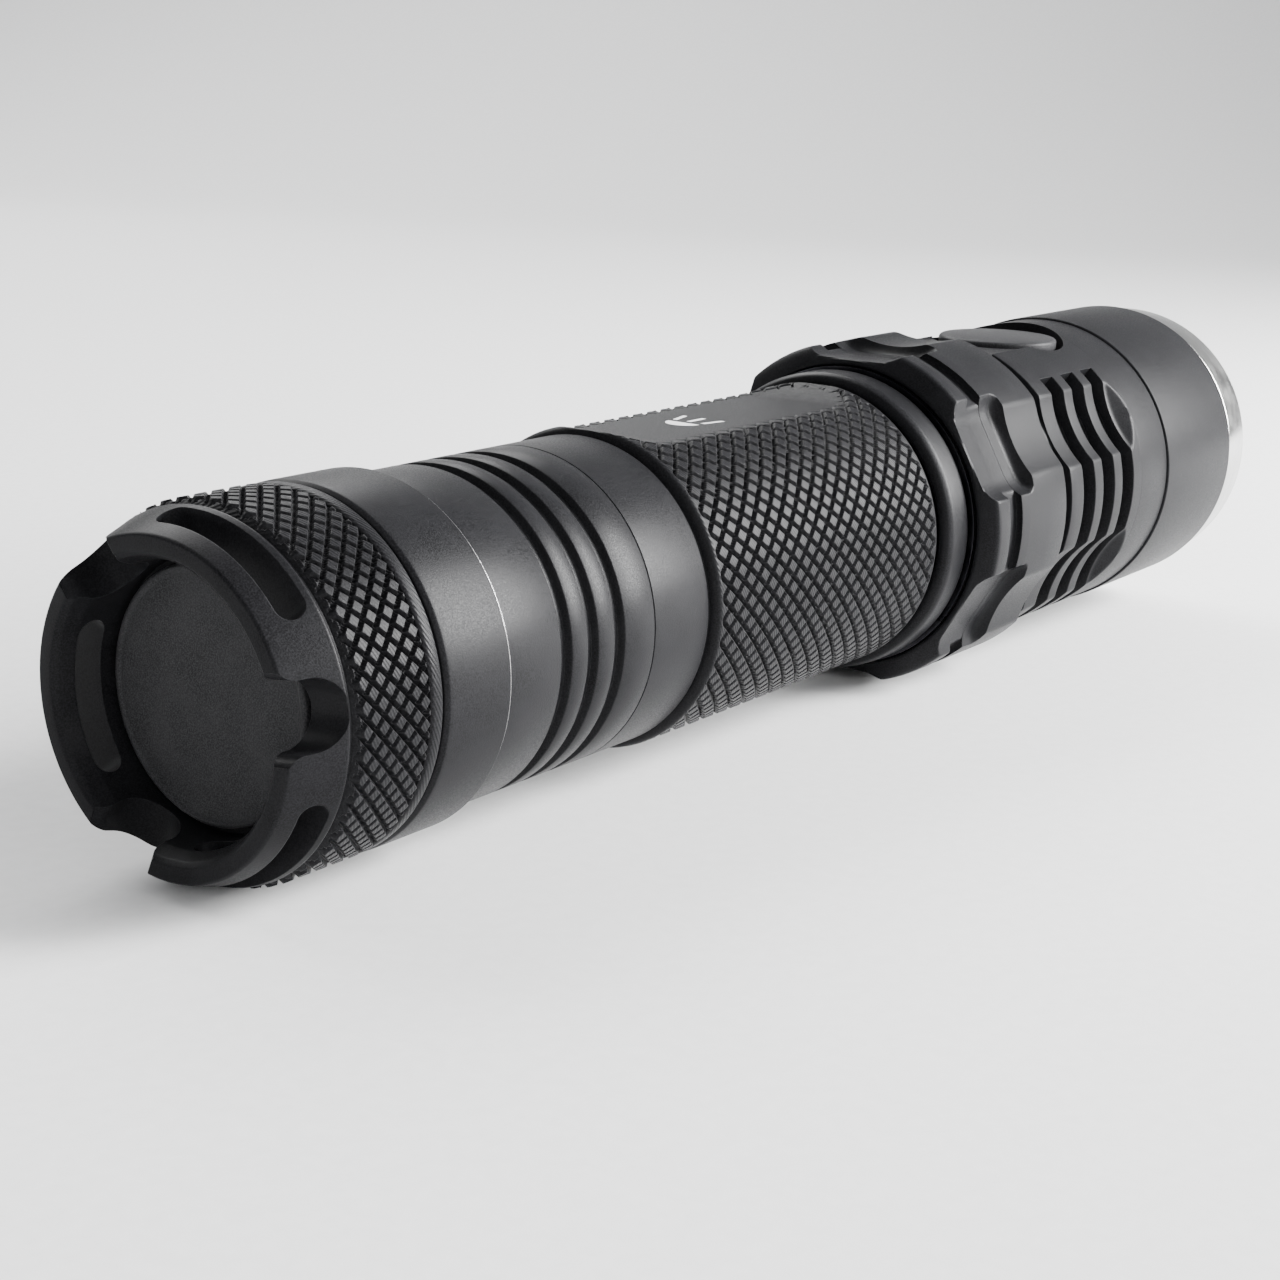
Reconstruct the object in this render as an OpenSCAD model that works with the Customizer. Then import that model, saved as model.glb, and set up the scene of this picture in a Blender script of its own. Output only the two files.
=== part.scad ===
// Hand-held tactical flashlight: crowned tail cap, knurled tube, selector ring, finned head.
// Every round piece is drawn on the light's own axis: z runs from the crown's rim (0) to the
// bezel's front (length), x points up and a positive turn is right-handed about +z.
// on_axis() then lays that axis along +X of the finished part.

/* [Overall] */
// Length from the crown's rim to the bezel's front
length = 144.8; // [144:0.1:147]
// Radius over the knurled grip
grip_r = 12.7; // [12.6:0.05:12.8]
// Radius of the plain head
head_r = 14.7; // [14.6:0.05:14.8]
// Outer radius of the front sleeve
sleeve_r = 14.9; // [14.85:0.05:15]
// Radius over the selector ring's lands
ring_r = 15.65; // [15.5:0.05:15.8]

/* [Tail cap] */
// Radius of the cap over its knurl and sleeve
cap_r = 12.8; // [12.7:0.05:12.9]
// Outer radius of the crown's rim
rim_r = 11.25; // [11.1:0.05:11.4]
// Radius of the thumb recess at the tail button
recess_r = 9.2; // [9.1:0.05:9.3]
// Depth from the rim to the tail button's face
recess_depth = 4.1; // [4.1:0.05:4.3]
// Radius of the tail button's face
button_r = 8.7; // [8.6:0.05:8.75]
// Travel of the tail button
button_travel = 1.3; // [0.8:0.1:1.4]
// Turn of the first crown notch about the axis
notch_turn = 82; // [0:1:119]

/* [Selector ring] */
// Number of scallops around the ring and the fins
scallops = 6; // [5:1:6]
// Half angle of the shallow scallop on the ring
flat_half = 12.5; // [11:0.5:13]
// Half angle of the deep thumb pocket on the ring
pocket_half = 18; // [16:0.5:18]

/* [Head] */
// Number of cooling grooves behind the plain head
fin_grooves = 3; // [2:1:3]
// Half angle of the plain pad that carries the side button
pad_half = 38.7; // [36:0.5:40]
// Radius of the side button
side_r = 5.8; // [5.4:0.1:5.9]
// Travel of the side button
side_travel = 0.5; // [0.3:0.1:0.6]

/* [Hidden] */
$fn = 96;

// Fits and small edges
running = 0.08;      // radial clearance of a running fit
gap = 0.2;           // gap between faces that never touch
edge = 0.3;          // small edge chamfer
thread_gap = 0.1;    // radial clearance between plain thread cylinders
over = 1;            // how far a cutter runs past the face it cuts
axis_z = ring_r * cos(flat_half);   // height of the axis over the floor

// Tail cap stations along the axis
land_in_r = 10.1;
mouth_r = 9.75;
mouth_z = 0.35;
taper_r = 9.35;
taper_z = 1.4;
rim_edge = 0.1;
cone_end = 4.0;
cone_r = 12.45;
vee_z = 4.35;
vee_r = 12.0;
knurl_start = 4.75;
lip_end = 12.3;
lip_groove_w = 0.5;
lip_groove_r = cap_r - 0.45;
cap_end = 19.2;
web_z = 5.1;
web_end = 6.3;
web_r = button_r + running;
cap_bore_r = 10.2;
cap_thread_r = 10.45;
cap_oring_r = 10.75;
thread_start = 14.5;
oring_start = 17.2;

// Crown notches and lanyard slots
notches = 3;
notch_r = 2.3;
notch_z = 1.8;
notch_half_w = 2.9;
shoulder_r = 1.1;
slot_z0 = 1.42;
slot_z1 = 3.46;
slot_r = (slot_z1 - slot_z0) / 2;
slot_half = 26.5;
slot_lap = 0.02;

// Tail switch stack
flange_r = 9.5;
flange_z0 = web_end + gap;
flange_z1 = flange_z0 + 0.7;
stem_r = 4.0;
stem_end = 7.9;
plunger_r = 1.8;
plunger_end = 9.6;
seal_z0 = 9.35;
housing_r = 5.6;
housing_z0 = 9.3;
housing_z1 = 12.0;
board_z0 = 12.0;
board_z1 = 13.0;
board_r = 10.1;
switch_ring_z1 = 14.3;
switch_ring_in_r = 8.0;
spanner_r = 0.8;
spring_wire = 0.8;
button_coils = 1.75;   // few enough for the cone to close flat

// Battery tube stations
tube_start = 14.6;
tube_bore_r = 9.45;
tube_thread_r = cap_thread_r - thread_gap;
tube_groove_z0 = 17.4;
tube_groove_z1 = 18.9;
tube_groove_r = 9.95;
neck_start = cap_end + gap;
neck_r = 12.15;
neck_grooves = [25.9, 28.9, 32.0];
neck_groove_w = 1.25;
neck_groove_r = 11.6;
fine_line_z = 36.2;
fine_line_w = 0.2;
fine_line_depth = 0.12;
neck_end = 43.3;
grip_start = 43.9;
grip_end = 77.2;
tube_step_z = 78.2;
tube_head_r = 11.2;
tube_end = 86.8;
rear_groove_z = 80.2;
rear_groove_w = 1.2;
rear_groove_r = 10.4;
flat_z0 = 48.5;
flat_z1 = 72.5;
flat_depth = 1.15;
flat_mill_r = 12;

// Cell: a protected 18650 with a raised positive cap
cell_r = 9.15;
cell_start = 19.2;
cell_end = 84.6;
wrap_t = 0.15;
cell_cap_r = 2.8;
cell_cap_end = 86.0;

// Head stations
retainer_z0 = 78.4;
retainer_z1 = 82.2;
retainer_r = 13.4;
retainer_in_r = 12.2;
head_start = 79.4;
head_thread_r = 12.1;
journal_r = 12.9;
washer_z0 = 82.3;
washer_z1 = 82.6;
washer_r = 13.6;
ring_z0 = 82.6;
ring_land_z0 = 83.3;
ring_counter_z = 83.5;
ring_counter_r = 14.05;
ring_face_r = 14.1;
ring_groove_z0 = 85.5;
ring_groove_z1 = 87.9;
ring_groove_r = 14.95;
pocket_end = 90.4;
pocket_floor_r = 14.0;
pocket_corner_r = 3.2;
pocket_flare = 2.25;
ring_flat_r = 14.75;
ring_z1 = 96.8;
ring_stop_z = 97.1;
neck_gap_z = 99.9;
neck_gap_r = 13.4;
groove_w = 2.55;
groove_pitch = 4.4;
first_groove = 102.55;
groove_floor_r = 12.6;
fin_floor_r = 13.6;
fin_half = 14.25;
fins_end = 114.2;
run_out = 1.5;
seam_z = 122.1;
seam_edge = 0.18;
front_thread_end = 128.5;
front_thread_r = 13.3;
front_groove_z = 122.7;
front_groove_r = 12.4;
front_oring_w = 1.1;
sleeve_end = 138.5;
sleeve_bore_r = 13.0;
sleeve_mouth_z = 134.3;
sleeve_mouth_r = 13.75;

// Bezel and optics
bezel_start = sleeve_mouth_z + gap;
bezel_r = 14.8;
bezel_front_r = 14.15;
bezel_edge_z = length - 0.5;
bezel_lip_z = 142.9;
bezel_lip_r = 11.9;
bezel_bore_r = 12.9;
lens_r = 12.8;
lens_z0 = 139.6;
lens_z1 = 142.2;
reflector_z0 = 119.8;
reflector_z1 = 138.6;
reflector_hole_r = 3.7;
reflector_mouth_r = 12.0;
reflector_out_r = 12.55;
reflector_flange_z = 137.2;
reflector_wall = 0.7;
seat_h = 1.0;

// LED engine
shelf_z0 = 97.6;
shelf_z1 = 116.8;
front_bore_r = 11.5;
star_r = 8.0;
star_t = 1.6;
star_top = shelf_z1 + star_t;
screw_pitch_r = 6.2;
screw_head_r = 1.7;
screw_head_h = 1.1;
screw_r = 0.95;
screw_len = 5;
package_w = 3.45;
package_h = 0.7;
dome_r = 1.5;
centring_r = 3.6;
centring_in_r = 2.55;
centring_flange_r = 4.2;
wire_r = 0.6;
wire_hole_r = 1.1;
wire_off = 5.0;

// Driver
driver_bore_r = 10.6;
driver_mouth_z = 87.0;
cavity_r = 9.3;
driver_z0 = 90.2;
driver_t = 1.4;
driver_r = 10.4;
driver_ring_z0 = 88.6;
driver_ring_in_r = 9.0;
sensor_x = 7.4;
sensor_size = [1.6, 3.0, 1.2];
post_h = 1.0;
post_r = 1.6;

// Side switch
side_z = 111.4;
side_pocket_r = side_r + 0.7;
side_floor = 11.9;
side_seal_t = 0.25;
side_under = 12.95;
side_top = 13.95;
side_crown = 0.35;
throat_half_w = 5.3;
throat_floor = 13.5;
side_cavity_r = 4.4;
side_cavity_floor = 9.2;
side_plunger_r = 1.5;
side_switch_w = 5.2;
side_board_t = 0.8;
side_switch_top = 11.2;
side_stem_end = side_switch_top + side_travel + 0.1;
side_wire_r = 0.3;
side_wire_off = 0.4;
side_way_r = 0.8;
side_way_x = 8.8;
side_way_end = side_z - 2.4;

// Detent and magnet
detent_r = 1.0;
detent_z = 92.4;
detent_turn = 120;
detent_steps = 6;
detent_step = 30;
detent_out = 0.45;
detent_groove_d = 0.55;
detent_groove_half = 1.0;
detent_dimple_d = 0.75;
detent_dimple_r = 0.6;
detent_hole_floor = 10.0;
magnet_r = 1.5;
magnet_h = 1.4;
magnet_z = 92.4;
magnet_turn = 210;
ring_oring_z = [85.4, 95.4];
ring_oring_w = 1.1;
ring_oring_r = 0.47;
ring_oring_mid_r = 12.45;
ring_oring_floor_r = 11.96;

// ---- shared helpers -------------------------------------------------------------------

module on_axis() {
    translate([-length / 2, 0, axis_z]) rotate([0, 90, 0]) rotate([0, 0, 180]) children();
}

// A turned solid from a list of [radius, station] points.
module turned(points) {
    rotate_extrude() polygon(points);
}

// A plain tube from station z0 to z1.
module tube(r_out, r_in, z0, z1) {
    difference() {
        translate([0, 0, z0]) cylinder(r = r_out, h = z1 - z0);
        translate([0, 0, z0 - over]) cylinder(r = r_in, h = z1 - z0 + 2 * over);
    }
}

// A solid disc from station z0 to z1.
module disc(r, z0, z1) {
    translate([0, 0, z0]) cylinder(r = r, h = z1 - z0);
}

// A turned ring of round section, as an O-ring.
module o_ring(r_mid, section_r, z) {
    translate([0, 0, z]) rotate_extrude() translate([r_mid, 0]) circle(r = section_r, $fn = 32);
}

// Put children at a turn about the axis, with their own +z pointing outwards.
module radially(turn, z) {
    rotate([0, 0, turn]) translate([0, 0, z]) rotate([0, 90, 0]) children();
}

// Repeat children evenly about the axis.
module around(count, start = 0) {
    for (i = [0 : count - 1]) rotate([0, 0, start + i * 360 / count]) children();
}

// A round wire wound from z0 to z1, with radius r0 at z0 and r1 at z1.
module coil(r0, r1, wire, z0, z1, turns) {
    steps = 16;
    sides = 8;
    n = ceil(turns * steps);
    wr = wire / 2;
    points = [
        for (i = [0 : n])
            let (f = i / n, a = 360 * turns * f, r = r0 + (r1 - r0) * f,
                 z = z0 + wr + (z1 - z0 - wire) * f)
            for (k = [0 : sides - 1])
                let (b = 360 * k / sides)
                [(r + wr * cos(b)) * cos(a), (r + wr * cos(b)) * sin(a), z + wr * sin(b)]
    ];
    walls = [
        for (i = [0 : n - 1]) for (k = [0 : sides - 1])
            let (k2 = (k + 1) % sides)
            [i * sides + k, (i + 1) * sides + k, (i + 1) * sides + k2, i * sides + k2]
    ];
    caps = [
        [for (k = [0 : sides - 1]) k],
        [for (k = [sides - 1 : -1 : 0]) n * sides + k]
    ];
    polyhedron(points = points, faces = concat(walls, caps));
}

// Centre distance of a round cutter whose floor stays floor_r from the axis and whose cut
// meets the radius outer_r at the half angle half.
function cutter_centre(outer_r, floor_r, half) =
    (outer_r * outer_r - floor_r * floor_r) / (2 * outer_r * cos(half) - 2 * floor_r);

// A scallop along the axis, cut by a round cutter, from z0 to z1.
module scallop(outer_r, floor_r, half, z0, z1, slope = 0) {
    c = cutter_centre(outer_r, floor_r, half);
    translate([c, 0, z0]) cylinder(r = c - floor_r, h = z1 - z0);
    // The sloped end runs on past the surface, so that it leaves it cleanly
    if (slope > 0) translate([c, 0, z1])
        cylinder(r1 = c - floor_r, r2 = c - outer_r - (outer_r - floor_r) / 2, h = slope * 1.5);
}

// ---- tail cap -------------------------------------------------------------------------

// One notch's outline: a round bottom, a throat and shoulders that open at the rim.
module notch_outline() {
    throat = notch_r;
    translate([notch_z, 0]) circle(r = notch_r);
    translate([-over, -throat]) square([notch_z + over, 2 * throat]);
    for (side = [-1, 1]) difference() {
        translate([-over, side * (throat + notch_half_w) / 2 - (notch_half_w - throat)])
            square([over + shoulder_r, 2 * (notch_half_w - throat)]);
        translate([shoulder_r, side * (throat + shoulder_r)]) circle(r = shoulder_r);
        translate([0, side * (throat + shoulder_r + over) - over])
            square([shoulder_r + over, 2 * over]);
    }
}

module crown_notch() {
    translate([recess_r - over, 0, 0]) rotate([90, 0, 90]) rotate([0, 0, 90]) mirror([0, 1])
         linear_extrude(height = cap_r - recess_r + 2 * over) notch_outline();
}

module lanyard_slot() {
    wall = cap_r - recess_r + 2 * over;
    for (a = [-slot_half, slot_half])
        radially(a, slot_z0 + slot_r) translate([0, 0, recess_r - over])
            cylinder(r = slot_r, h = wall, $fn = 32);
    rotate([0, 0, -slot_half]) rotate_extrude(angle = 2 * slot_half)
        translate([recess_r - over, slot_z0 + slot_lap])
            square([wall, 2 * (slot_r - slot_lap)]);
}

module tail_cap() {
    color("dimgray") on_axis() difference() {
        turned([
            [rim_r - rim_edge, 0], [rim_r, rim_edge], [cone_r, cone_end - edge / 2],
            [cone_r, cone_end], [vee_r, vee_z], [cap_r, knurl_start],
            [cap_r, lip_end], [lip_groove_r, lip_end],
            [lip_groove_r, lip_end + lip_groove_w], [cap_r, lip_end + lip_groove_w],
            [cap_r, cap_end - edge / 2], [cap_r - edge / 2, cap_end],
            [cap_oring_r, cap_end], [cap_oring_r, oring_start],
            [cap_thread_r, oring_start], [cap_thread_r, thread_start],
            [cap_bore_r, thread_start], [cap_bore_r, web_end],
            [web_r, web_end], [web_r, web_z],
            [recess_r, web_z], [taper_r, taper_z], [mouth_r, mouth_z], [land_in_r, 0]
        ]);
        around(notches, notch_turn) crown_notch();
        around(notches, notch_turn + 180 / notches) lanyard_slot();
    }
}

module tail_button() {
    dish = 0.15;
    color("gray") on_axis() turned([
        [0, recess_depth + dish], [button_r - 1.1, recess_depth + dish],
        [button_r - 0.7, recess_depth], [button_r - dish, recess_depth],
        [button_r, recess_depth + dish], [button_r, flange_z0],
        [flange_r, flange_z0], [flange_r, flange_z1],
        [stem_r, flange_z1], [stem_r, stem_end], [0, stem_end]
    ]);
}

module switch_plunger() {
    color("silver") on_axis() disc(plunger_r, stem_end, plunger_end);
}

module button_spring() {
    color("silver") on_axis()
        coil(flange_r - 2, flange_r - 1.2, spring_wire / 2, flange_z1, seal_z0 - 0.05, button_coils);
}

module tail_seal() {
    color("black") on_axis() tube(cap_bore_r - 0.05, housing_r + gap, seal_z0, board_z0);
}

// The switch has a floor under the plunger's full travel.
module switch_housing() {
    color("darkslategray") on_axis() difference() {
        disc(housing_r, housing_z0, housing_z1);
        disc(plunger_r + running, housing_z0 - over, plunger_end + button_travel + gap);
    }
}

module tail_board() {
    color("darkgreen") on_axis() disc(board_r, board_z0, board_z1);
}

module switch_ring() {
    color("goldenrod") on_axis() difference() {
        tube(board_r, switch_ring_in_r, board_z1, switch_ring_z1);
        around(2) translate([(board_r + switch_ring_in_r) / 2, 0, board_z1 - over])
            cylinder(r = spanner_r, h = 2 * over + switch_ring_z1 - board_z1, $fn = 24);
    }
}

module tail_spring() {
    color("silver") on_axis()
        coil(6.2, 4.2, spring_wire, board_z1, cell_start - 0.05, 4.5);
}

module tail_oring() {
    section = (cap_oring_r - tube_groove_r) / 2;
    color("black") on_axis()
        o_ring(tube_groove_r + section, section - 0.02, (tube_groove_z0 + tube_groove_z1) / 2);
}

// ---- battery tube and cell ---------------------------------------------------------------

function neck_points() = [
    for (z = neck_grooves) each [
        [neck_r, z - neck_groove_w / 2], [neck_groove_r, z - neck_groove_w / 2],
        [neck_groove_r, z + neck_groove_w / 2], [neck_r, z + neck_groove_w / 2]
    ]
];

// The milled flat on top of the grip, with the mill's round run-out at both ends.
module grip_flat() {
    floor_x = grip_r - flat_depth;
    translate([floor_x, -grip_r, flat_z0]) cube([grip_r, 2 * grip_r, flat_z1 - flat_z0]);
    for (z = [flat_z0, flat_z1]) translate([floor_x + flat_mill_r, 0, z]) rotate([90, 0, 0])
        translate([0, 0, -grip_r]) cylinder(r = flat_mill_r, h = 2 * grip_r);
}

module battery_tube() {
    color("dimgray") on_axis() difference() {
        turned(concat(
            [[tube_bore_r, tube_start], [tube_thread_r - edge, tube_start],
             [tube_thread_r, tube_start + edge], [tube_thread_r, tube_groove_z0],
             [tube_groove_r, tube_groove_z0], [tube_groove_r, tube_groove_z1],
             [tube_thread_r, tube_groove_z1], [tube_thread_r, neck_start],
             [neck_r - edge / 2, neck_start], [neck_r, neck_start + edge / 2]],
            neck_points(),
            [[neck_r, fine_line_z], [neck_r - fine_line_depth, fine_line_z + fine_line_w / 2],
             [neck_r, fine_line_z + fine_line_w],
             [neck_r, neck_end - edge], [neck_r - edge, neck_end],
             [grip_r - 2 * edge, grip_start - edge], [grip_r, grip_start + edge],
             [grip_r, grip_end], [grip_r - 2 * edge, tube_step_z],
             [tube_head_r, tube_step_z], [tube_head_r, rear_groove_z],
             [rear_groove_r, rear_groove_z], [rear_groove_r, rear_groove_z + rear_groove_w],
             [tube_head_r, rear_groove_z + rear_groove_w], [tube_head_r, tube_end],
             [tube_bore_r, tube_end]]
        ));
        grip_flat();
    }
}

module cell_can() {
    color("silver") on_axis() disc(cell_r - wrap_t, cell_start, cell_end);
}

module cell_wrap() {
    color("seagreen") on_axis() tube(cell_r, cell_r - wrap_t, cell_start + 0.5, cell_end - 0.5);
}

module cell_insulator() {
    color("white") on_axis() tube(cell_r - 0.8, cell_cap_r + 0.3, cell_end, cell_end + 0.3);
}

module cell_cap() {
    color("silver") on_axis() turned([
        [0, cell_end], [cell_cap_r, cell_end], [cell_cap_r, cell_cap_end - edge],
        [cell_cap_r - edge, cell_cap_end], [0, cell_cap_end]
    ]);
}

// ---- selector ring -----------------------------------------------------------------------

// The deep thumb pocket: a flat floor with rounded corners, open to the tail.
module thumb_pocket() {
    floor_half = ring_r * sin(pocket_half) - pocket_flare;
    translate([0, 0, ring_z0 - over]) linear_extrude(height = pocket_end - ring_z0 + over) {
        for (side = [-1, 1]) translate([pocket_floor_r + pocket_corner_r, side * floor_half])
            circle(r = pocket_corner_r);
        translate([pocket_floor_r, -floor_half]) square([pocket_corner_r, 2 * floor_half]);
    }
}

module selector_ring() {
    bore_r = journal_r + running;
    color("dimgray") on_axis() difference() {
        turned([
            [bore_r, ring_counter_z], [ring_counter_r - edge, ring_counter_z],
            [ring_counter_r - edge, ring_z0], [ring_face_r, ring_z0],
            [ring_r - edge / 2, ring_land_z0], [ring_r, ring_land_z0 + edge / 2],
            [ring_r, ring_groove_z0], [ring_groove_r, ring_groove_z0],
            [ring_groove_r, ring_groove_z1], [ring_r, ring_groove_z1],
            [ring_r, ring_z1 - edge], [ring_r - edge, ring_z1], [bore_r, ring_z1]
        ]);
        around(scallops) thumb_pocket();
        around(scallops) scallop(ring_r, ring_flat_r, flat_half, pocket_end - over, ring_z1 + over);
        // Shallow path for the detent ball, with one deeper dimple at each setting
        disc(bore_r + detent_groove_d, detent_z - detent_groove_half, detent_z + detent_groove_half);
        for (i = [0 : detent_steps - 1]) radially(detent_turn - i * detent_step, detent_z)
            cylinder(r = detent_dimple_r, h = bore_r + detent_dimple_d, $fn = 24);
        radially(magnet_turn, magnet_z)
            cylinder(r = magnet_r + 0.05, h = journal_r + magnet_h + 2 * running, $fn = 32);
    }
}

module ring_magnet() {
    color("silver") on_axis() radially(magnet_turn, magnet_z)
        translate([0, 0, journal_r + running + 0.05]) cylinder(r = magnet_r, h = magnet_h, $fn = 32);
}

module ring_orings() {
    color("black") on_axis() for (z = ring_oring_z) o_ring(ring_oring_mid_r, ring_oring_r, z);
}

module ring_retainer() {
    color("dimgray") on_axis() turned([
        [retainer_in_r, retainer_z0], [retainer_r - 0.7, retainer_z0],
        [retainer_r - 0.2, retainer_z0 + 0.2], [retainer_r, retainer_z0 + 0.8],
        [retainer_r, retainer_z1 - 0.8], [retainer_r - 0.2, retainer_z1 - 0.2],
        [retainer_r - 0.7, retainer_z1], [retainer_in_r, retainer_z1]
    ]);
}

module wave_washer() {
    color("silver") on_axis() tube(washer_r, journal_r + 0.05, washer_z0, washer_z1);
}

module detent_ball() {
    color("silver") on_axis() radially(detent_turn, detent_z)
        translate([0, 0, journal_r + detent_out - detent_r]) sphere(r = detent_r, $fn = 32);
}

module detent_spring() {
    color("silver") on_axis() radially(detent_turn, detent_z)
        coil(0.5, 0.5, 0.25, detent_hole_floor, journal_r + detent_out - 2 * detent_r - 0.05, 3);
}

// ---- head --------------------------------------------------------------------------------

// Cooling grooves run round the head except under the side button's pad.
module fin_groove(z) {
    rotate([0, 0, pad_half]) rotate_extrude(angle = 360 - 2 * pad_half)
        translate([groove_floor_r, z]) square([head_r - groove_floor_r + over, groove_w]);
}

// The side button's round pocket and the open throat that leads to it from the ring's gap.
module side_recess() {
    translate([0, 0, side_z]) rotate([0, 90, 0])
        translate([0, 0, side_floor]) cylinder(r = side_pocket_r, h = head_r);
    translate([throat_floor, -throat_half_w, neck_gap_z - over])
        cube([head_r, 2 * throat_half_w, side_z - neck_gap_z + over]);
    translate([0, 0, side_z]) rotate([0, 90, 0])
        translate([0, 0, side_cavity_floor]) cylinder(r = side_cavity_r, h = head_r);
}

// Grooves for the selector ring's two O-rings, as part of the head's turned outline.
function journal_points() = [
    for (z = ring_oring_z) each [
        [journal_r, z - ring_oring_w / 2],
        [ring_oring_floor_r, z - ring_oring_w / 2],
        [ring_oring_floor_r, z + ring_oring_w / 2],
        [journal_r, z + ring_oring_w / 2]
    ]
];

module head_body() {
    tail_bore_r = tube_head_r + thread_gap / 2;
    color("gray") on_axis() difference() {
        turned(concat(
            [[tail_bore_r, head_start], [head_thread_r, head_start],
             [head_thread_r, retainer_z1], [journal_r, retainer_z1]],
            journal_points(),
            [[journal_r, ring_stop_z], [neck_gap_r, ring_stop_z], [neck_gap_r, neck_gap_z],
             [head_r - edge, neck_gap_z], [head_r, neck_gap_z + edge],
             [head_r, seam_z - seam_edge], [head_r - seam_edge, seam_z],
             [front_thread_r, seam_z], [front_thread_r, front_groove_z],
             [front_groove_r, front_groove_z],
             [front_groove_r, front_groove_z + front_oring_w],
             [front_thread_r, front_groove_z + front_oring_w],
             [front_thread_r, front_thread_end], [front_bore_r, front_thread_end],
             [front_bore_r, shelf_z1], [0, shelf_z1], [0, shelf_z0],
             [cavity_r, shelf_z0], [cavity_r, driver_z0 + driver_t],
             [driver_bore_r, driver_z0 + driver_t], [driver_bore_r, driver_mouth_z],
             [tail_bore_r, driver_mouth_z]]
        ));
        for (i = [0 : fin_grooves - 1]) fin_groove(first_groove + i * groove_pitch);
        for (i = [1 : scallops - 1]) rotate([0, 0, i * 360 / scallops])
            scallop(head_r, fin_floor_r, fin_half, neck_gap_z - over, fins_end, run_out);
        side_recess();
        for (side = [-1, 1]) {
            translate([0, side * wire_off, shelf_z0 - over])
                cylinder(r = wire_hole_r, h = shelf_z1 - shelf_z0 + 2 * over, $fn = 32);
            translate([side * screw_pitch_r, 0, star_top - screw_len])
                cylinder(r = screw_r, h = screw_len + over, $fn = 24);
        }
        // Wire way from the side switch to the driver
        translate([side_way_x, 0, shelf_z0 - over])
            cylinder(r = side_way_r, h = side_way_end - shelf_z0 + over, $fn = 24);
        // Blind hole for the detent ball and its spring
        radially(detent_turn, detent_z) translate([0, 0, detent_hole_floor])
            cylinder(r = detent_r + running / 2, h = head_r - detent_hole_floor, $fn = 32);
    }
}

module rear_oring() {
    section = (tube_head_r + thread_gap / 2 - rear_groove_r) / 2;
    color("black") on_axis()
        o_ring(rear_groove_r + section, section - 0.02, rear_groove_z + rear_groove_w / 2);
}

module front_oring() {
    section = (front_thread_r + thread_gap - front_groove_r) / 2;
    color("black") on_axis()
        o_ring(front_groove_r + section, section - 0.02, front_groove_z + front_oring_w / 2);
}

module head_sleeve() {
    thread_bore_r = front_thread_r + thread_gap;
    color("gray") on_axis() turned([
        [thread_bore_r, seam_z + 0.02], [sleeve_r - seam_edge, seam_z + 0.02],
        [sleeve_r, seam_z + seam_edge], [sleeve_r, sleeve_end],
        [sleeve_mouth_r, sleeve_end], [sleeve_mouth_r, sleeve_mouth_z],
        [sleeve_bore_r, sleeve_mouth_z], [sleeve_bore_r, front_thread_end + gap],
        [thread_bore_r, front_thread_end + gap]
    ]);
}

module bezel_ring() {
    color("gainsboro") on_axis() turned([
        [bezel_bore_r, bezel_start], [sleeve_mouth_r - thread_gap, bezel_start],
        [sleeve_mouth_r - thread_gap, sleeve_end + 0.02], [bezel_r, sleeve_end + 0.02],
        [bezel_front_r, bezel_edge_z], [bezel_front_r - 2 * edge, length],
        [bezel_lip_r + 2 * edge, length], [bezel_lip_r, bezel_lip_z + edge],
        [bezel_lip_r, bezel_lip_z], [bezel_bore_r, bezel_lip_z]
    ]);
}

// ---- optics --------------------------------------------------------------------------------

module lens() {
    color("lightcyan") on_axis() turned([
        [0, lens_z0], [lens_r - edge, lens_z0], [lens_r, lens_z0 + edge],
        [lens_r, lens_z1 - edge], [lens_r - edge, lens_z1], [0, lens_z1]
    ]);
}

module lens_gasket() {
    color("black") on_axis() tube(lens_r, bezel_lip_r, lens_z1, bezel_lip_z);
}

module lens_seat() {
    color("black") on_axis()
        o_ring(lens_r - seat_h / 2, seat_h / 2 - 0.02, (reflector_z1 + lens_z0) / 2);
}

// Depth of the paraboloid where its radius is r, from its vertex.
function bowl_depth(r) = r * r * (reflector_z1 - reflector_z0)
    / (reflector_mouth_r * reflector_mouth_r - reflector_hole_r * reflector_hole_r);

module reflector() {
    facets = 16;
    vertex_z = reflector_z0 - bowl_depth(reflector_hole_r);
    radii = [for (i = [0 : facets])
        reflector_hole_r + (reflector_mouth_r - reflector_hole_r) * i / facets];
    color("whitesmoke") on_axis() turned(concat(
        [for (r = radii) [r, vertex_z + bowl_depth(r)]],
        [[reflector_out_r, reflector_z1], [reflector_out_r, reflector_flange_z]],
        [for (i = [facets - 2 : -1 : 0])
            [radii[i] + reflector_wall,
             max(reflector_z0, vertex_z + bowl_depth(radii[i]) - reflector_wall)]]
    ));
}

module centring_ring() {
    color("white") on_axis() turned([
        [centring_in_r, star_top], [centring_flange_r, star_top],
        [centring_flange_r, reflector_z0], [centring_r, reflector_z0],
        [centring_r, reflector_z0 + reflector_wall], [centring_in_r, reflector_z0 + reflector_wall]
    ]);
}

// ---- LED engine ----------------------------------------------------------------------------

module led_board() {
    color("white") on_axis() difference() {
        disc(star_r, shelf_z1, star_top);
        for (side = [-1, 1]) {
            translate([side * screw_pitch_r, 0, shelf_z1 - over])
                cylinder(r = screw_r + gap, h = star_t + 2 * over, $fn = 24);
            translate([0, side * wire_off, shelf_z1 - over])
                cylinder(r = wire_hole_r, h = star_t + 2 * over, $fn = 24);
        }
    }
}

module led_package() {
    color("khaki") on_axis() translate([-package_w / 2, -package_w / 2, star_top])
        cube([package_w, package_w, package_h]);
}

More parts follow.
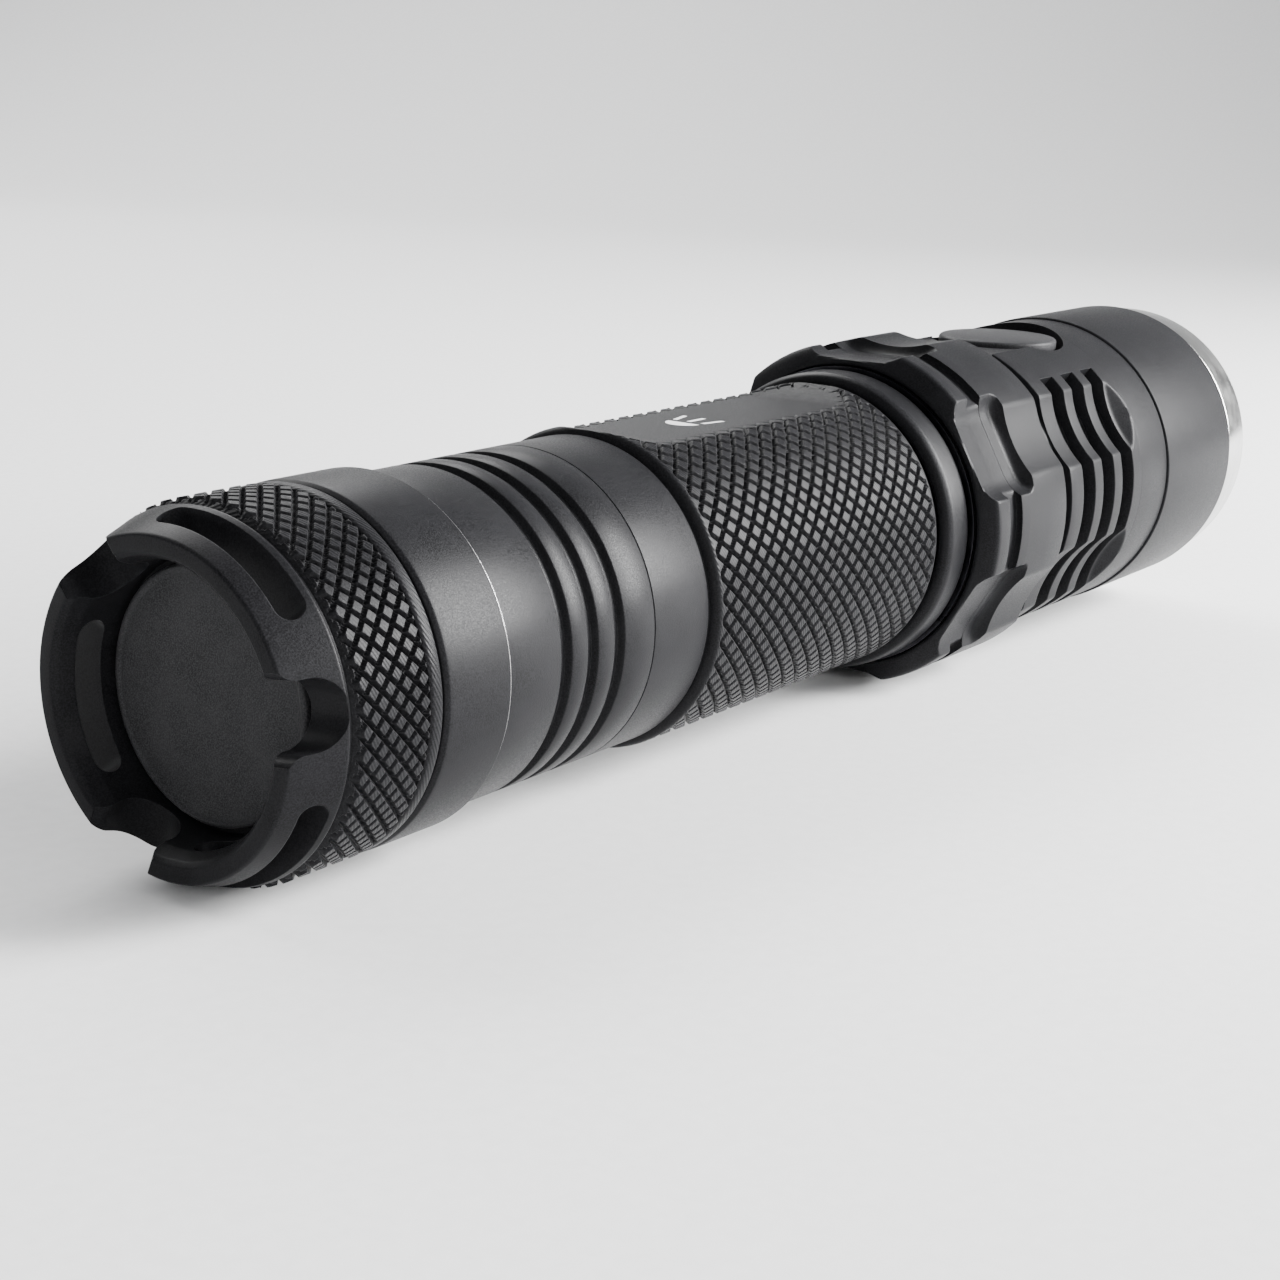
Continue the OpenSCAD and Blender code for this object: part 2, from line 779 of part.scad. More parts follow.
module led_dome() {
    color("lemonchiffon") on_axis() intersection() {
        translate([0, 0, star_top + package_h]) sphere(r = dome_r, $fn = 48);
        disc(2 * dome_r, star_top + package_h, star_top + package_h + 2 * dome_r);
    }
}

module board_screws() {
    color("silver") on_axis() for (side = [-1, 1]) translate([side * screw_pitch_r, 0, star_top]) {
        difference() {
            cylinder(r = screw_head_r, h = screw_head_h, $fn = 32);
            translate([0, 0, screw_head_h / 2])
                cylinder(r = screw_r, h = screw_head_h, $fn = 6);
        }
        translate([0, 0, gap - screw_len]) cylinder(r = screw_r - 0.02, h = screw_len, $fn = 24);
    }
}

module led_wires() {
    color("firebrick") on_axis() for (side = [-1, 1])
        translate([0, side * wire_off, driver_z0 + driver_t])
            cylinder(r = wire_r, h = star_top + wire_r - driver_z0 - driver_t, $fn = 24);
}

// ---- driver --------------------------------------------------------------------------------

module driver_board() {
    color("darkgreen") on_axis() disc(driver_r, driver_z0, driver_z0 + driver_t);
}

// Inductor, controller, regulator and capacitors on the driver's front.
module driver_parts() {
    top = driver_z0 + driver_t;
    color("black") on_axis() {
        translate([-7.8, -1.9, top]) cube([4.8, 4.8, 3.2]);
        translate([-1.8, -3.2, top]) cube([3.9, 4.9, 1.5]);
        translate([3.4, -2.2, top]) cube([3.0, 2.9, 1.1]);
        translate([4.2, 1.6, top]) cube([2.0, 1.25, 1.2]);
        translate([-4.6, 4.2, top]) cube([2.0, 1.25, 1.2]);
        translate([-4.6, -6.2, top]) cube([2.0, 1.25, 1.2]);
    }
}

module driver_ring() {
    color("goldenrod") on_axis() difference() {
        tube(driver_bore_r - 0.02, driver_ring_in_r, driver_ring_z0, driver_z0);
        around(2) translate([(driver_bore_r + driver_ring_in_r) / 2, 0, driver_ring_z0 - over])
            cylinder(r = spanner_r / 2, h = 2 * over, $fn = 24);
    }
}

module contact_post() {
    color("goldenrod") on_axis() turned([
        [0, driver_z0 - post_h], [post_r - edge, driver_z0 - post_h],
        [post_r, driver_z0 - post_h + edge],
        [post_r, driver_z0], [0, driver_z0]
    ]);
}

module contact_spring() {
    color("gold") on_axis() coil(2.2, 3.4, 0.6, cell_cap_end + 0.05, driver_z0, 3);
}

module side_wires() {
    color("firebrick") on_axis() for (side = [-1, 1])
        translate([side_way_x, side * side_wire_off, driver_z0 + driver_t])
            cylinder(r = side_wire_r, h = side_way_end - driver_z0 - driver_t, $fn = 24);
}

module ring_sensor() {
    color("black") on_axis() rotate([0, 0, magnet_turn])
        translate([sensor_x, -sensor_size[1] / 2, driver_z0 + driver_t]) cube(sensor_size);
}

// ---- side button ---------------------------------------------------------------------------

module side_button() {
    color("darkgray") on_axis() translate([0, 0, side_z]) rotate([0, 90, 0]) turned([
        [0, side_stem_end], [side_plunger_r, side_stem_end], [side_plunger_r, side_under],
        [side_r, side_under], [side_r, side_top - 0.2], [side_r - 0.2, side_top],
        [side_r * 0.8, side_top + side_crown * 0.36], [side_r * 0.6, side_top + side_crown * 0.64],
        [side_r * 0.3, side_top + side_crown * 0.91], [0, side_top + side_crown]
    ]);
}

module side_seal() {
    color("black") on_axis() translate([0, 0, side_z]) rotate([0, 90, 0])
        tube(side_pocket_r - 0.05, side_plunger_r + gap, side_floor, side_floor + side_seal_t);
}

module side_switch() {
    color("silver") on_axis() translate([0, 0, side_z]) rotate([0, 90, 0])
        translate([-side_switch_w / 2, -side_switch_w / 2, side_cavity_floor + side_board_t])
            cube([side_switch_w, side_switch_w, side_switch_top - side_cavity_floor - side_board_t]);
}

module side_board() {
    color("darkgreen") on_axis() translate([0, 0, side_z]) rotate([0, 90, 0])
        disc(side_cavity_r - 0.1, side_cavity_floor, side_cavity_floor + side_board_t);
}

tail_cap();
tail_button();
switch_plunger();
button_spring();
tail_seal();
switch_housing();
tail_board();
switch_ring();
tail_spring();
tail_oring();
battery_tube();
cell_can();
cell_wrap();
cell_insulator();
cell_cap();
selector_ring();
ring_magnet();
ring_orings();
ring_retainer();
wave_washer();
detent_ball();
detent_spring();
head_body();
rear_oring();
front_oring();
head_sleeve();
bezel_ring();
lens();
lens_gasket();
lens_seat();
reflector();
centring_ring();
led_board();
led_package();
led_dome();
board_screws();
led_wires();
driver_board();
driver_parts();
driver_ring();
contact_post();
contact_spring();
ring_sensor();
side_button();
side_seal();
side_switch();
side_board();
side_wires();
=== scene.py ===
"""Tactical flashlight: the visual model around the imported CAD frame.

Every round piece is described by its station (mm from the crown's rim, towards the lens), its
radius (mm) and its turn (degrees from straight up, positive towards -Y).
"""
import math

import bmesh
import bpy
import numpy as np
from mathutils import Matrix, Vector


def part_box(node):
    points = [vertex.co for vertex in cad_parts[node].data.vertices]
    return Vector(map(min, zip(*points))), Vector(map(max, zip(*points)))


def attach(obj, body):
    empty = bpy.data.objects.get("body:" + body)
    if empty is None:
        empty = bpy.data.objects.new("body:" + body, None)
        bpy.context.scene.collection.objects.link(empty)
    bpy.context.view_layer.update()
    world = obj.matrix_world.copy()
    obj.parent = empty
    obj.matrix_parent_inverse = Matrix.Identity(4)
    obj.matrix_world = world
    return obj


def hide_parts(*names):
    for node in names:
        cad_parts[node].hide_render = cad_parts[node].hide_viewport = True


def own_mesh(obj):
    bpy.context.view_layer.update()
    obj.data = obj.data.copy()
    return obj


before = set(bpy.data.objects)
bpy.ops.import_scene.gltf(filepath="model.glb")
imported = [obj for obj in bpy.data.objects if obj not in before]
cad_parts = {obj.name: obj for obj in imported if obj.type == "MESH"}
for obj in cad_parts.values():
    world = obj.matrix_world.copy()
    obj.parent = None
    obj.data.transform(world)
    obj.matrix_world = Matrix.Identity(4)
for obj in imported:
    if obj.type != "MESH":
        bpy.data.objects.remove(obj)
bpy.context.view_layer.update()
MM = 0.001

# ---- places from the frame -------------------------------------------------------------------


def middle(node):
    low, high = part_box(node)
    return (low + high) / 2


AXIS_Z = middle("bezel_ring").z
TAIL_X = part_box("tail_cap")[0].x


def station(node):
    """First and last station of a CAD node, in mm."""
    low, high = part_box(node)
    return (low.x - TAIL_X) / MM, (high.x - TAIL_X) / MM


def at(s, r, turn):
    """The point at a station, radius and turn, in metres."""
    a = math.radians(turn)
    return Vector((TAIL_X + s * MM, -r * MM * math.sin(a), AXIS_Z + r * MM * math.cos(a)))


# ---- mesh helpers ----------------------------------------------------------------------------


def finish_piece(name, mesh, body, material, nodes=(), sharp=32):
    """Shade a mesh, put it in the scene and tie it to the frame."""
    mesh.polygons.foreach_set("use_smooth", [True] * len(mesh.polygons))
    mesh.set_sharp_from_angle(angle=math.radians(sharp))
    mesh.materials.clear()
    mesh.materials.append(material)
    piece = bpy.data.objects.new(name, mesh)
    bpy.context.scene.collection.objects.link(piece)
    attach(piece, body)
    if nodes:
        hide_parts(*nodes)
    return piece


def outward(mesh):
    """Turn every face outwards."""
    bm = bmesh.new()
    bm.from_mesh(mesh)
    bmesh.ops.recalc_face_normals(bm, faces=bm.faces)
    bm.to_mesh(mesh)
    bm.free()
    return mesh


def soften(points, size, steps=3):
    """Round each corner of a closed outline of (station, radius) points."""
    result = []
    count = len(points)
    for i, point in enumerate(points):
        p = Vector(point)
        before = Vector(points[i - 1]) - p
        after = Vector(points[(i + 1) % count]) - p
        if before.length < 1e-6 or after.length < 1e-6 or size <= 0:
            result.append(point)
            continue
        straight = before.normalized().dot(after.normalized())
        reach = min(size, 0.4 * before.length, 0.4 * after.length)
        if straight < -0.995 or reach < 0.01 or p.y < 0.01:
            result.append(point)
            continue
        a = p + before.normalized() * reach
        b = p + after.normalized() * reach
        for k in range(steps + 1):
            f = k / steps
            q = a.lerp(p, f).lerp(p.lerp(b, f), f)
            result.append((q.x, q.y))
    return result


def lattice(name, stations, radii, turns):
    """A surface from rows of radii at given stations and turns, closed into a ring of rows."""
    rows, cols = radii.shape
    s = np.asarray(stations, float)[:, None] * np.ones((1, cols))
    a = np.radians(np.asarray(turns, float))[None, :] * np.ones((rows, 1))
    co = np.stack(
        [TAIL_X + s * MM, -radii * MM * np.sin(a), AXIS_Z + radii * MM * np.cos(a)], -1
    ).reshape(-1, 3)
    i = np.arange(rows)[:, None]
    j = np.arange(cols)[None, :]
    i2, j2 = (i + 1) % rows, (j + 1) % cols
    a00, a10 = i * cols + j, i2 * cols + j
    a01, a11 = i * cols + j2, i2 * cols + j2
    r00, r10, r01, r11 = (radii.reshape(-1)[k] for k in (a00, a10, a01, a11))
    # Each cell is split along the diagonal that follows the groove or ridge across it
    along = np.abs(r00 - r11) <= np.abs(r10 - r01)
    first = np.where(along[..., None], np.stack([a00, a10, a11], -1), np.stack([a00, a10, a01], -1))
    second = np.where(along[..., None], np.stack([a00, a11, a01], -1), np.stack([a10, a11, a01], -1))
    flat = np.abs((r00 + r11) - (r10 + r01)) < 1e-4
    quads = np.stack([a00, a10, a11, a01], -1)[flat]
    tris = np.concatenate([first[~flat], second[~flat]])
    mesh = bpy.data.meshes.new(name)
    mesh.from_pydata(co.tolist(), [], quads.tolist() + tris.tolist())
    mesh.validate()
    return outward(mesh)


def unroll(mesh):
    """UVs in mm for a round piece: along the axis, and round it at the grip's radius."""
    corners = np.zeros(len(mesh.loops), np.int64)
    mesh.loops.foreach_get("vertex_index", corners)
    co = np.zeros(len(mesh.vertices) * 3)
    mesh.vertices.foreach_get("co", co)
    x, y, z = co.reshape(-1, 3)[corners].T
    turn = np.arctan2(-y, z - AXIS_Z)
    first = np.zeros(len(mesh.polygons), np.int64)
    mesh.polygons.foreach_get("loop_start", first)
    count = np.diff(np.append(first, len(corners)))
    turn = turn + np.where(np.abs(turn - np.repeat(turn[first], count)) > 3, 2 * math.pi, 0) * (
        np.repeat(turn[first], count) > 0)
    uv = np.stack([(x - TAIL_X) / MM, turn * GRIP_R], -1).reshape(-1)
    mesh.uv_layers.new(name="unrolled").data.foreach_set("uv", uv)


def turned(name, points, segments=256, round_off=0.12):
    """A turned solid from a closed outline of (station, radius) points."""
    outline = soften(points, round_off)
    stations = [p[0] for p in outline]
    radii = np.array([[p[1]] for p in outline]) * np.ones((1, segments))
    turns = np.arange(segments) * 360 / segments
    mesh = lattice(name, stations, radii, turns)
    if min(p[1] for p in outline) < 1e-6:
        bm = bmesh.new()
        bm.from_mesh(mesh)
        bmesh.ops.remove_doubles(bm, verts=bm.verts, dist=1e-7)
        bmesh.ops.dissolve_degenerate(bm, edges=bm.edges, dist=1e-7)
        bm.to_mesh(mesh)
        bm.free()
        outward(mesh)
    return mesh


def soft_min(a, b, k):
    """The smaller of two arrays, with the corner between them rounded over about k."""
    h = np.clip(0.5 + 0.5 * (b - a) / k, 0, 1)
    return b * (1 - h) + a * h - k * h * (1 - h)


# A radius beyond every piece, where a cutter misses
FAR = 99.0


def round_cut(turns, centre, offset, radius):
    """Radius at which a ray first meets a round cutter that lies along the axis."""
    a = np.radians(turns)
    b = centre * np.cos(a) + offset * np.sin(a)
    c = centre * centre + offset * offset - radius * radius
    d = b * b - c
    hit = b - np.sqrt(np.maximum(d, 0))
    return np.where((d > 0) & (b > 0), hit, FAR)


def scallop_cut(turns, outer, floor, half):
    """A round scallop with its floor at one radius, which meets outer at a half angle."""
    centre = (outer**2 - floor**2) / (2 * outer * math.cos(math.radians(half)) - 2 * floor)
    return round_cut(turns, centre, 0, centre - floor)


def fold(turns, start, step):
    """Turns measured from the nearest repeat of a feature."""
    return (np.asarray(turns) - start + step / 2) % step - step / 2


def knurl_depth(stations, turns, pitch, around, start, half_width):
    """0 on a diamond's flat top to 1 in the bottom of the V grooves between them."""
    s = (np.asarray(stations)[:, None] - start) / pitch
    a = np.asarray(turns)[None, :] * around / 360
    depth = 0
    for family in (a + s, a - s):
        depth = np.maximum(depth, 1 - np.abs(family - np.round(family)) / half_width)
    return np.clip(depth, 0, 1)


# ---- materials -------------------------------------------------------------------------------


class Nodes:
    """Small helper for building a node material."""

    def __init__(self, name):
        self.material = bpy.data.materials.new(name)
        self.material.use_nodes = True
        self.tree = self.material.node_tree
        self.shader = self.tree.nodes["Principled BSDF"]

    def add(self, kind, **values):
        node = self.tree.nodes.new(kind)
        for key, value in values.items():
            if key in node.inputs:
                node.inputs[key].default_value = value
            else:
                setattr(node, key, value)
        return node

    def link(self, source, target):
        self.tree.links.new(source, target)

    def place(self, scale=(1, 1, 1)):
        """Object coordinates, in mm, stretched by scale."""
        coord = self.add("ShaderNodeTexCoord")
        mapping = self.add("ShaderNodeMapping")
        mapping.inputs["Scale"].default_value = [v / MM for v in scale]
        self.link(coord.outputs["Object"], mapping.inputs["Vector"])
        return mapping.outputs["Vector"]

    def noise(self, scale, detail=2, stretch=(1, 1, 1)):
        node = self.add("ShaderNodeTexNoise", Scale=scale, Detail=detail)
        self.link(self.place(stretch), node.inputs["Vector"])
        return node.outputs["Fac"]

    def ramp(self, source, low, high, start=0.35, end=0.65):
        node = self.add("ShaderNodeMapRange")
        for key, value in (("From Min", start), ("From Max", end), ("To Min", low), ("To Max", high)):
            node.inputs[key].default_value = value
        self.link(source, node.inputs["Value"])
        return node.outputs["Result"]

    def mix(self, factor, first, second):
        node = self.add("ShaderNodeMix", data_type="RGBA")
        self.link(factor, node.inputs["Factor"])
        for key, value in (("A", first), ("B", second)):
            socket = [s for s in node.inputs if s.name == key and s.type == "RGBA"][0]
            if isinstance(value, (tuple, list)):
                socket.default_value = (*value, 1)
            else:
                self.link(value, socket)
        return [s for s in node.outputs if s.type == "RGBA"][0]

    def bump(self, source, height_mm, strength=1.0, normal=None):
        node = self.add("ShaderNodeBump", Strength=strength, Distance=height_mm * MM)
        self.link(source, node.inputs["Height"])
        if normal is not None:
            self.link(normal, node.inputs["Normal"])
        return node.outputs["Normal"]

    def hatching(self):
        """Fine slanting lines that a knurling wheel leaves, and none on the tube's plain neck."""
        neck_middle, neck_half = 29.5, 14.5
        uv = self.add("ShaderNodeUVMap", uv_map="unrolled")
        turn = self.add("ShaderNodeMapping")
        turn.inputs["Rotation"].default_value = (0, 0, math.radians(28))
        wave = self.add("ShaderNodeTexWave", Scale=1.25, Distortion=0.6)
        self.link(uv.outputs["UV"], turn.inputs["Vector"])
        self.link(turn.outputs["Vector"], wave.inputs["Vector"])
        place = self.add("ShaderNodeSeparateXYZ")
        self.link(uv.outputs["UV"], place.inputs["Vector"])
        neck = self.add("ShaderNodeMath", operation="COMPARE")
        neck.inputs[1].default_value, neck.inputs[2].default_value = neck_middle, neck_half
        self.link(place.outputs["X"], neck.inputs[0])
        lines = self.add("ShaderNodeMath", operation="MULTIPLY")
        self.link(wave.outputs["Fac"], lines.inputs[0])
        self.link(self.ramp(neck.outputs[0], 1, 0), lines.inputs[1])
        return lines.outputs[0]

    def edges(self, radius_mm):
        """1 along convex and concave edges, 0 on open faces, with the softened normal."""
        bevel = self.add("ShaderNodeBevel", samples=4)
        bevel.inputs["Radius"].default_value = radius_mm * MM
        geometry = self.add("ShaderNodeNewGeometry")
        dot = self.add("ShaderNodeVectorMath", operation="DOT_PRODUCT")
        self.link(bevel.outputs["Normal"], dot.inputs[0])
        self.link(geometry.outputs["Normal"], dot.inputs[1])
        return self.ramp(dot.outputs["Value"], 1, 0, 0.8, 0.995), bevel.outputs["Normal"]


def set_shader(n, **values):
    for key, value in values.items():
        n.shader.inputs[key.replace("_", " ")].default_value = value


def anodised(name, dark, light, rough, grain_mm=0.11, worn=(0.07, 0.07, 0.074), hatch=False):
    """Hard-anodised aluminium: fine blasted grain, faint mottling, paler worn edges."""
    n = Nodes(name)
    set_shader(n, Metallic=0.0, Specular_IOR_Level=0.07)
    grain = n.noise(1 / grain_mm, 3)
    mottle = n.noise(0.35, 4)
    colour = n.mix(n.ramp(grain, 0, 1, 0.38, 0.66), dark, light)
    tone = n.mix(n.ramp(mottle, 0, 0.35), colour, light)
    edge, soft = n.edges(0.09)
    breakup = n.add("ShaderNodeMath", operation="MULTIPLY")
    n.link(edge, breakup.inputs[0])
    n.link(n.ramp(n.noise(1.6, 5), 0.0, 0.45), breakup.inputs[1])
    n.link(n.mix(breakup.outputs[0], tone, worn), n.shader.inputs["Base Color"])
    n.link(n.ramp(grain, rough - 0.08, rough + 0.10), n.shader.inputs["Roughness"])
    normal = n.bump(grain, 0.014, 0.6, soft)
    if hatch:
        normal = n.bump(n.hatching(), 0.03, 0.45, normal)
    n.link(normal, n.shader.inputs["Normal"])
    return n.material


def turned_metal(name, dark, light, rough, metallic=1.0, lines=6.0):
    """Bare turned metal with fine lathe lines across the axis."""
    n = Nodes(name)
    set_shader(n, Metallic=metallic)
    marks = n.noise(lines, 3, (1, 0.04, 0.04))
    smudge = n.noise(0.5, 4)
    n.link(n.mix(n.ramp(marks, 0, 1), dark, light), n.shader.inputs["Base Color"])
    n.link(n.ramp(smudge, rough * 0.8, rough * 1.3), n.shader.inputs["Roughness"])
    _, soft = n.edges(0.08)
    n.link(n.bump(marks, 0.004, 0.5, soft), n.shader.inputs["Normal"])
    return n.material


def speckled(name, dark, light, rough, grain_mm=0.2, height=0.01, metallic=0.0, **values):
    """A moulded, printed or coated surface with a fine grain."""
    n = Nodes(name)
    set_shader(n, Metallic=metallic, **values)
    grain = n.noise(1 / grain_mm, 4)
    n.link(n.mix(n.ramp(grain, 0, 1), dark, light), n.shader.inputs["Base Color"])
    n.link(n.ramp(grain, rough * 0.85, rough * 1.15), n.shader.inputs["Roughness"])
    n.link(n.bump(grain, height, 0.4), n.shader.inputs["Normal"])
    return n.material


def circuit(name):
    """Green solder mask with copper tracks under it."""
    n = Nodes(name)
    set_shader(n, Coat_Weight=0.4)
    cells = n.add("ShaderNodeTexVoronoi", Scale=0.55, feature="DISTANCE_TO_EDGE")
    n.link(n.place(), cells.inputs["Vector"])
    track = n.ramp(cells.outputs["Distance"], 1, 0, 0.08, 0.12)
    n.link(n.mix(track, (0.01, 0.1, 0.035), (0.03, 0.24, 0.07)), n.shader.inputs["Base Color"])
    n.link(n.ramp(n.noise(3, 3), 0.3, 0.45), n.shader.inputs["Roughness"])
    n.link(n.bump(track, 0.03, 0.5), n.shader.inputs["Normal"])
    return n.material


def clear(name, tint, rough, ior):
    """Glass or clear silicone with a faint uneven tint."""
    n = Nodes(name)
    set_shader(n, Transmission_Weight=1.0, IOR=ior)
    film = n.noise(0.25, 2)
    pale = tuple(min(1, v * 1.03) for v in tint)
    n.link(n.mix(n.ramp(film, 0, 1), tint, pale), n.shader.inputs["Base Color"])
    n.link(n.ramp(film, rough, rough * 1.8), n.shader.inputs["Roughness"])
    return n.material


BLACK = anodised("black_anodised", (0.0045, 0.0045, 0.005), (0.013, 0.013, 0.0145), 0.40)
COLLAR = anodised("collar_anodised", (0.0045, 0.0045, 0.005), (0.013, 0.013, 0.0145), 0.38,
                  worn=(0.013, 0.013, 0.0145))
KNURL = anodised("knurled_anodised", (0.0045, 0.0045, 0.005), (0.014, 0.014, 0.0155), 0.38,
                 worn=(0.08, 0.08, 0.084), hatch=True)
BUTTON = anodised("button_anodised", (0.014, 0.014, 0.015), (0.040, 0.040, 0.042), 0.40, 0.10)
# Painted highlight: bright metal for the thin ring at the cap's seam, standing in for the light the
# edge catches
SEAM_HIGHLIGHT = turned_metal("painted_highlight_metal", (0.50, 0.50, 0.50), (0.66, 0.66, 0.66), 0.30)
STEEL = turned_metal("polished_steel", (0.44, 0.44, 0.43), (0.56, 0.56, 0.55), 0.2)
BLUED = turned_metal("blued_spring_steel", (0.020, 0.020, 0.023), (0.035, 0.035, 0.040), 0.34)
BRASS = turned_metal("turned_brass", (0.62, 0.43, 0.16), (0.80, 0.60, 0.26), 0.26)
GOLD = turned_metal("gold_contact", (0.80, 0.56, 0.20), (0.92, 0.70, 0.32), 0.22)
SPRING = turned_metal("spring_wire", (0.48, 0.48, 0.50), (0.66, 0.66, 0.67), 0.28)
NICKEL = turned_metal("nickel_plate", (0.60, 0.59, 0.56), (0.76, 0.75, 0.72), 0.24, 1.0, 3.0)
MIRROR = turned_metal("reflector_mirror", (0.88, 0.88, 0.88), (0.94, 0.94, 0.94), 0.04, 1.0, 1.5)
RUBBER = speckled("black_rubber", (0.012, 0.012, 0.013), (0.03, 0.03, 0.032), 0.72)
PLASTIC = speckled("black_plastic", (0.015, 0.015, 0.017), (0.04, 0.04, 0.043), 0.5)
WHITE = speckled("white_plastic", (0.72, 0.72, 0.70), (0.84, 0.84, 0.82), 0.45)
MASK = speckled("white_mask", (0.70, 0.70, 0.68), (0.86, 0.86, 0.84), 0.35, 0.3)
PHOSPHOR = speckled("led_phosphor", (0.78, 0.60, 0.06), (0.92, 0.76, 0.14), 0.55, 0.08)
FILM = speckled("cell_film", (0.01, 0.12, 0.09), (0.02, 0.18, 0.13), 0.28, 1.5)
CARD = speckled("insulating_card", (0.62, 0.60, 0.54), (0.76, 0.74, 0.68), 0.85, 0.3)
WIRE = speckled("wire_silicone", (0.42, 0.02, 0.015), (0.58, 0.04, 0.03), 0.5)
INK = speckled("white_ink", (0.62, 0.62, 0.62), (0.80, 0.80, 0.80), 0.6, 0.1)
BOARD = circuit("circuit_board")
GLASS = clear("lens_glass", (0.94, 0.97, 0.98), 0.004, 1.5)
SILICONE = clear("led_dome_silicone", (0.98, 0.97, 0.90), 0.02, 1.41)

NODE_MATERIALS = {
    "switch_plunger": STEEL, "wave_washer": BLUED, "board_screws": STEEL, "detent_ball": STEEL,
    "button_spring": SPRING, "detent_spring": SPRING, "tail_spring": GOLD,
    "contact_spring": GOLD, "contact_post": GOLD, "switch_ring": BRASS, "driver_ring": BRASS,
    "tail_seal": RUBBER, "tail_oring": RUBBER, "ring_orings": RUBBER, "rear_oring": RUBBER,
    "front_oring": RUBBER, "lens_gasket": RUBBER, "lens_seat": RUBBER, "side_seal": RUBBER,
    "switch_housing": PLASTIC, "driver_parts": PLASTIC, "ring_sensor": PLASTIC,
    "tail_board": BOARD, "driver_board": BOARD, "side_board": BOARD, "side_switch": NICKEL,
    "cell_can": NICKEL, "cell_cap": NICKEL, "cell_wrap": FILM, "cell_insulator": CARD,
    "ring_magnet": NICKEL, "lens": GLASS, "reflector": MIRROR, "centring_ring": WHITE,
    "led_board": MASK, "led_package": PHOSPHOR, "led_dome": SILICONE, "led_wires": WIRE,
    "side_wires": WIRE, "tail_cap": BLACK, "battery_tube": BLACK, "selector_ring": BLACK,
    "ring_retainer": COLLAR, "head_body": BLACK, "head_sleeve": BLACK, "bezel_ring": STEEL,
    "tail_button": BUTTON, "side_button": BUTTON,
}


def paint_nodes():
    for node, material in NODE_MATERIALS.items():
        for material_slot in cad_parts[node].material_slots:
            material_slot.material = material


# ---- tail cap --------------------------------------------------------------------------------

CAP_R = 12.8
CAP_CHANNEL = (4.25, 12.62)
CAP_KNURL = (4.45, 11.1)
CAP_PITCH, CAP_AROUND = 1.53, 52
KNURL_STEPS = 10
KNURL_DEPTH = 0.42
GROOVE_SHARE = 0.2
NOTCH_TURNS = (82, 202, 322)
SLOT_TURNS = (22, 142, 262)


def cut_by(mesh, cutters):
    """The mesh less the cutters, with the exact boolean."""
    for cutter in cutters:
        body = bpy.data.objects.new("cut_body", mesh)
        tool = bpy.data.objects.new("cut_tool", cutter)
        for o in (body, tool):
            bpy.context.scene.collection.objects.link(o)
        modifier = body.modifiers.new("cut", "BOOLEAN")
        modifier.operation, modifier.solver, modifier.object = "DIFFERENCE", "EXACT", tool
        bpy.context.view_layer.update()
        graph = bpy.context.evaluated_depsgraph_get()
        mesh = bpy.data.meshes.new_from_object(body.evaluated_get(graph))
        for o in (body, tool):
            bpy.data.objects.remove(o)
    return mesh


def skin(name, rings):
    """A closed solid through rings of points, with a fan over each end."""
    count = len(rings[0])
    points = [p for ring in rings for p in ring]
    faces = [[j * count + i, j * count + (i + 1) % count, (j + 1) * count + (i + 1) % count,
              (j + 1) * count + i] for j in range(len(rings) - 1) for i in range(count)]
    for ring, start in ((rings[0], 0), (rings[-1], (len(rings) - 1) * count)):
        points.append(sum(ring, Vector()) / count)
        faces += [[start + i, start + (i + 1) % count, len(points) - 1] for i in range(count)]
    mesh = bpy.data.meshes.new(name)
    mesh.from_pydata([tuple(p) for p in points], [], faces)
    return outward(mesh)


def arc(centre, radius, start, end, steps):
    """Points of a circular arc, angles in degrees from the second axis."""
    return [(centre[0] + radius * math.sin(math.radians(a)),
             centre[1] + radius * math.cos(math.radians(a)))
            for a in np.linspace(start, end, steps)]


def crown_notch(turn):
    """A notch through the crown: round floor, straight throat, rounded shoulders, open mouth."""
    bottom_s, bottom_r, shoulder, mouth = 1.8, 2.3, 1.1, 2.9
    half = arc((bottom_s, 0), bottom_r, 90, 0, 20)
    lip = math.degrees(math.acos((bottom_r + shoulder - mouth) / shoulder))
    half += arc((shoulder, bottom_r + shoulder), shoulder, 180, 180 + lip, 10)
    half += [(-0.5, mouth), (-1.0, mouth)]
    outline = half + [(s, -t) for s, t in reversed(half[1:])]
    side = at(0, 1, turn + 90) - at(0, 0, 0)
    return skin("crown_notch", [[at(s, r, turn) + side * t for s, t in outline]
                                for r in np.linspace(8.2, 14.0, 16)])


def lanyard_slot(turn):
    """A slot round the crown with round ends, cut straight in towards the axis."""
    middle_s, r_end, half = 2.44, 1.02, 26.5
    end = [(s, half, t) for s, t in arc((middle_s, 0), r_end, 90, -90, 17)]
    outline = end + [(middle_s - r_end, a, 0) for a in np.linspace(half, -half, 40)[1:-1]]
    outline += [(s, -half, -t) for s, _, t in reversed(end)]
    outline += [(middle_s + r_end, a, 0) for a in np.linspace(-half, half, 40)[1:-1]]
    return skin("lanyard_slot", [
        [at(s, r, turn + a + math.degrees(math.atan(t / r))) for s, a, t in outline]
        for r in np.linspace(8.2, 14.5, 12)])


